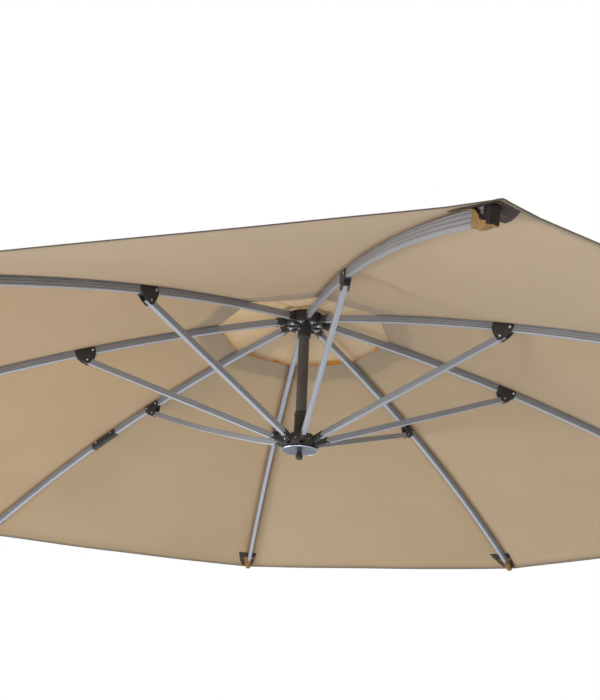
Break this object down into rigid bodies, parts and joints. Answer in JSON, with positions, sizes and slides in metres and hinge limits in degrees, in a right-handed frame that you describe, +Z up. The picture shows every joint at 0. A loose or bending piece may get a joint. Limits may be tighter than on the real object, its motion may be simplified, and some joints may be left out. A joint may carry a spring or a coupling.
{
  "type": "cantilever parasol",
  "caption": "Octagonal side-post garden parasol with vented canopy, ribs and struts on a crank-driven runner, boom on a sliding carriage, turning mast and slab-weighted cross base.",
  "frame": {"origin": "on the floor under the mast axis, at the centre of the cross base's underside", "axes": "+Z up along the mast; +X from the mast towards the canopy; +Y to its left side"},
  "size_m": [4.2266, 3.5532, 2.6559],
  "materials": {
    "alloy_profile": "satin",
    "coated_alloy": "matte",
    "coated_steel": "matte",
    "bright_steel": "satin",
    "charcoal_plastic": "matte",
    "canopy_cloth": "matte",
    "slab_concrete": "matte"
  },
  "bodies": {
    "base": {"base_cross": "coated_steel", "ballast_slab_1": "slab_concrete", "ballast_slab_2": "slab_concrete", "ballast_slab_3": "slab_concrete", "ballast_slab_4": "slab_concrete"},
    "brake": {"brake_pedal": "charcoal_plastic"},
    "mast": {"mast_foot": "coated_steel", "mast_tube": "coated_alloy", "mast_head": "charcoal_plastic", "crank_housing": "charcoal_plastic"},
    "crank": {"crank_arm": "coated_alloy"},
    "crank_grip": {"crank_knob": "charcoal_plastic"},
    "stay": {"boom_stay": "coated_alloy"},
    "boom": {"boom_tube": "coated_alloy", "boom_fork": "charcoal_plastic"},
    "slider": {"slider": "charcoal_plastic"},
    "release_lever": {"slider_lever": "charcoal_plastic"},
    "crown": {"hanger_post": "charcoal_plastic", "crown_hub": "charcoal_plastic", "crown_hinge_ring": "bright_steel", "crown_collar": "charcoal_plastic", "centre_tube": "coated_alloy", "vent_cap": "canopy_cloth", "canopy": "canopy_cloth"},
    "rib_a": {"rib_a": "alloy_profile", "rib_bracket_a": "charcoal_plastic"},
    "strut_a": {"strut_a": "alloy_profile"},
    "rib_b": {"rib_b": "alloy_profile", "rib_bracket_b": "charcoal_plastic"},
    "strut_b": {"strut_b": "alloy_profile"},
    "rib_c": {"rib_c": "alloy_profile", "rib_bracket_c": "charcoal_plastic"},
    "strut_c": {"strut_c": "alloy_profile"},
    "rib_d": {"rib_d": "alloy_profile", "rib_bracket_d": "charcoal_plastic", "rib_d_outer": "alloy_profile", "rib_d_splice": "charcoal_plastic"},
    "strut_d": {"strut_d": "alloy_profile"},
    "rib_e": {"rib_e": "alloy_profile", "rib_bracket_e": "charcoal_plastic"},
    "strut_e": {"strut_e": "alloy_profile"},
    "rib_f": {"rib_f": "alloy_profile", "rib_bracket_f": "charcoal_plastic"},
    "strut_f": {"strut_f": "alloy_profile"},
    "rib_g": {"rib_g": "alloy_profile", "rib_bracket_g": "charcoal_plastic"},
    "strut_g": {"strut_g": "alloy_profile"},
    "rib_h": {"rib_h": "alloy_profile", "rib_bracket_h": "charcoal_plastic"},
    "strut_h": {"strut_h": "alloy_profile"},
    "runner": {"runner": "charcoal_plastic", "runner_hinge_ring": "bright_steel", "runner_disc": "bright_steel", "pull_knob": "charcoal_plastic"}
  },
  "joints": [
    {"name": "mast_turn", "type": "hinge", "parent": "base", "child": "mast", "pos_m": [0, 0, 0.15], "axis": [0, 0, 1], "continuous": true},
    {"name": "brake_pedal_press", "type": "hinge", "parent": "base", "child": "brake", "pos_m": [0, -0.084, 0.104], "axis": [1, 0, 0], "range_deg": [0, 12], "stiffness_Nm_per_rad": 1, "springref_deg": -11.46},
    {"name": "crank_knob_spin", "type": "hinge", "parent": "crank", "child": "crank_grip", "pos_m": [0, -0.12, 1.025], "axis": [0, 1, 0], "continuous": true},
    {"name": "boom_lift", "type": "hinge", "parent": "mast", "child": "stay", "pos_m": [0.065, 0, 2.46302], "axis": [0, 1, 0], "range_deg": [-8, 25]},
    {"name": "boom_swing", "type": "hinge", "parent": "stay", "child": "boom", "pos_m": [0.73441, 0, 2.25836], "axis": [0, 1, 0], "range_deg": [-50, 16]},
    {"name": "slider_travel", "type": "hinge", "parent": "boom", "child": "slider", "pos_m": [0.065, 0, 2.0537], "axis": [0, 1, 0], "range_deg": [-8, 25]},
    {"name": "slider_lever_squeeze", "type": "hinge", "parent": "slider", "child": "release_lever", "pos_m": [-0.0506, 0, 2.0337], "axis": [0, 1, 0], "range_deg": [0, 10], "stiffness_Nm_per_rad": 0.5, "springref_deg": -11.46},
    {"name": "canopy_tilt", "type": "hinge", "parent": "boom", "child": "crown", "pos_m": [1.95, 0, 2.63], "axis": [0, -1, 0], "range_deg": [0, 40]},
    {"name": "canopy_fold", "type": "hinge", "parent": "crown", "child": "rib_a", "pos_m": [1.98818, -0.03818, 2.48], "axis": [0.7071, 0.7071, 0], "range_deg": [0, 65], "deforming": ["canopy", "vent_cap"]},
    {"name": "rib_fold_b", "type": "hinge", "parent": "crown", "child": "rib_b", "pos_m": [1.95, -0.054, 2.48], "axis": [1, 0, 0], "range_deg": [0, 65]},
    {"name": "rib_fold_c", "type": "hinge", "parent": "crown", "child": "rib_c", "pos_m": [1.91182, -0.03818, 2.48], "axis": [0.7071, -0.7071, 0], "range_deg": [0, 65]},
    {"name": "rib_fold_d", "type": "hinge", "parent": "crown", "child": "rib_d", "pos_m": [1.896, 0, 2.48], "axis": [0, -1, 0], "range_deg": [0, 65]},
    {"name": "rib_fold_e", "type": "hinge", "parent": "crown", "child": "rib_e", "pos_m": [1.91182, 0.03818, 2.48], "axis": [-0.7071, -0.7071, 0], "range_deg": [0, 65]},
    {"name": "rib_fold_f", "type": "hinge", "parent": "crown", "child": "rib_f", "pos_m": [1.95, 0.054, 2.48], "axis": [-1, 0, 0], "range_deg": [0, 65]},
    {"name": "rib_fold_g", "type": "hinge", "parent": "crown", "child": "rib_g", "pos_m": [1.98818, 0.03818, 2.48], "axis": [-0.7071, 0.7071, 0], "range_deg": [0, 65]},
    {"name": "rib_fold_h", "type": "hinge", "parent": "crown", "child": "rib_h", "pos_m": [2.004, 0, 2.48], "axis": [0, 1, 0], "range_deg": [0, 65]},
    {"name": "strut_swing_a", "type": "hinge", "parent": "rib_a", "child": "strut_a", "pos_m": [2.46981, -0.51981, 2.25705], "axis": [0.7071, 0.7071, 0], "range_deg": [-130, 0]},
    {"name": "strut_swing_b", "type": "hinge", "parent": "rib_b", "child": "strut_b", "pos_m": [1.95, -0.73512, 2.25705], "axis": [1, 0, 0], "range_deg": [-130, 0]},
    {"name": "strut_swing_c", "type": "hinge", "parent": "rib_c", "child": "strut_c", "pos_m": [1.43019, -0.51981, 2.25705], "axis": [0.7071, -0.7071, 0], "range_deg": [-130, 0]},
    {"name": "strut_swing_d", "type": "hinge", "parent": "rib_d", "child": "strut_d", "pos_m": [1.21488, 0, 2.25705], "axis": [0, -1, 0], "range_deg": [-130, 0]},
    {"name": "strut_swing_e", "type": "hinge", "parent": "rib_e", "child": "strut_e", "pos_m": [1.43019, 0.51981, 2.25705], "axis": [-0.7071, -0.7071, 0], "range_deg": [-130, 0]},
    {"name": "strut_swing_f", "type": "hinge", "parent": "rib_f", "child": "strut_f", "pos_m": [1.95, 0.73512, 2.25705], "axis": [-1, 0, 0], "range_deg": [-130, 0]},
    {"name": "strut_swing_g", "type": "hinge", "parent": "rib_g", "child": "strut_g", "pos_m": [2.46981, 0.51981, 2.25705], "axis": [-0.7071, 0.7071, 0], "range_deg": [-130, 0]},
    {"name": "strut_swing_h", "type": "hinge", "parent": "rib_h", "child": "strut_h", "pos_m": [2.68512, 0, 2.25705], "axis": [0, 1, 0], "range_deg": [-130, 0]},
    {"name": "runner_drop", "type": "hinge", "parent": "strut_a", "child": "runner", "pos_m": [1.98818, -0.03818, 2.0341], "axis": [0.7071, 0.7071, 0], "range_deg": [0, 65]},
    {"name": "crank_turn", "type": "hinge", "parent": "mast", "child": "crank", "pos_m": [0, -0.0739, 1.15], "axis": [0, 1, 0], "range_deg": [0, 2880]}
  ],
  "couplings": [
    {"joint": "boom_swing", "follows": "boom_lift", "ratio": -2},
    {"joint": "slider_travel", "follows": "boom_lift", "ratio": 1},
    {"joint": "rib_fold_b", "follows": "canopy_fold", "ratio": 1},
    {"joint": "rib_fold_c", "follows": "canopy_fold", "ratio": 1},
    {"joint": "rib_fold_d", "follows": "canopy_fold", "ratio": 1},
    {"joint": "rib_fold_e", "follows": "canopy_fold", "ratio": 1},
    {"joint": "rib_fold_f", "follows": "canopy_fold", "ratio": 1},
    {"joint": "rib_fold_g", "follows": "canopy_fold", "ratio": 1},
    {"joint": "rib_fold_h", "follows": "canopy_fold", "ratio": 1},
    {"joint": "strut_swing_a", "follows": "canopy_fold", "ratio": -2},
    {"joint": "strut_swing_b", "follows": "canopy_fold", "ratio": -2},
    {"joint": "strut_swing_c", "follows": "canopy_fold", "ratio": -2},
    {"joint": "strut_swing_d", "follows": "canopy_fold", "ratio": -2},
    {"joint": "strut_swing_e", "follows": "canopy_fold", "ratio": -2},
    {"joint": "strut_swing_f", "follows": "canopy_fold", "ratio": -2},
    {"joint": "strut_swing_g", "follows": "canopy_fold", "ratio": -2},
    {"joint": "strut_swing_h", "follows": "canopy_fold", "ratio": -2},
    {"joint": "runner_drop", "follows": "canopy_fold", "ratio": 1},
    {"joint": "crank_turn", "follows": "canopy_fold", "ratio": 44.308}
  ]
}
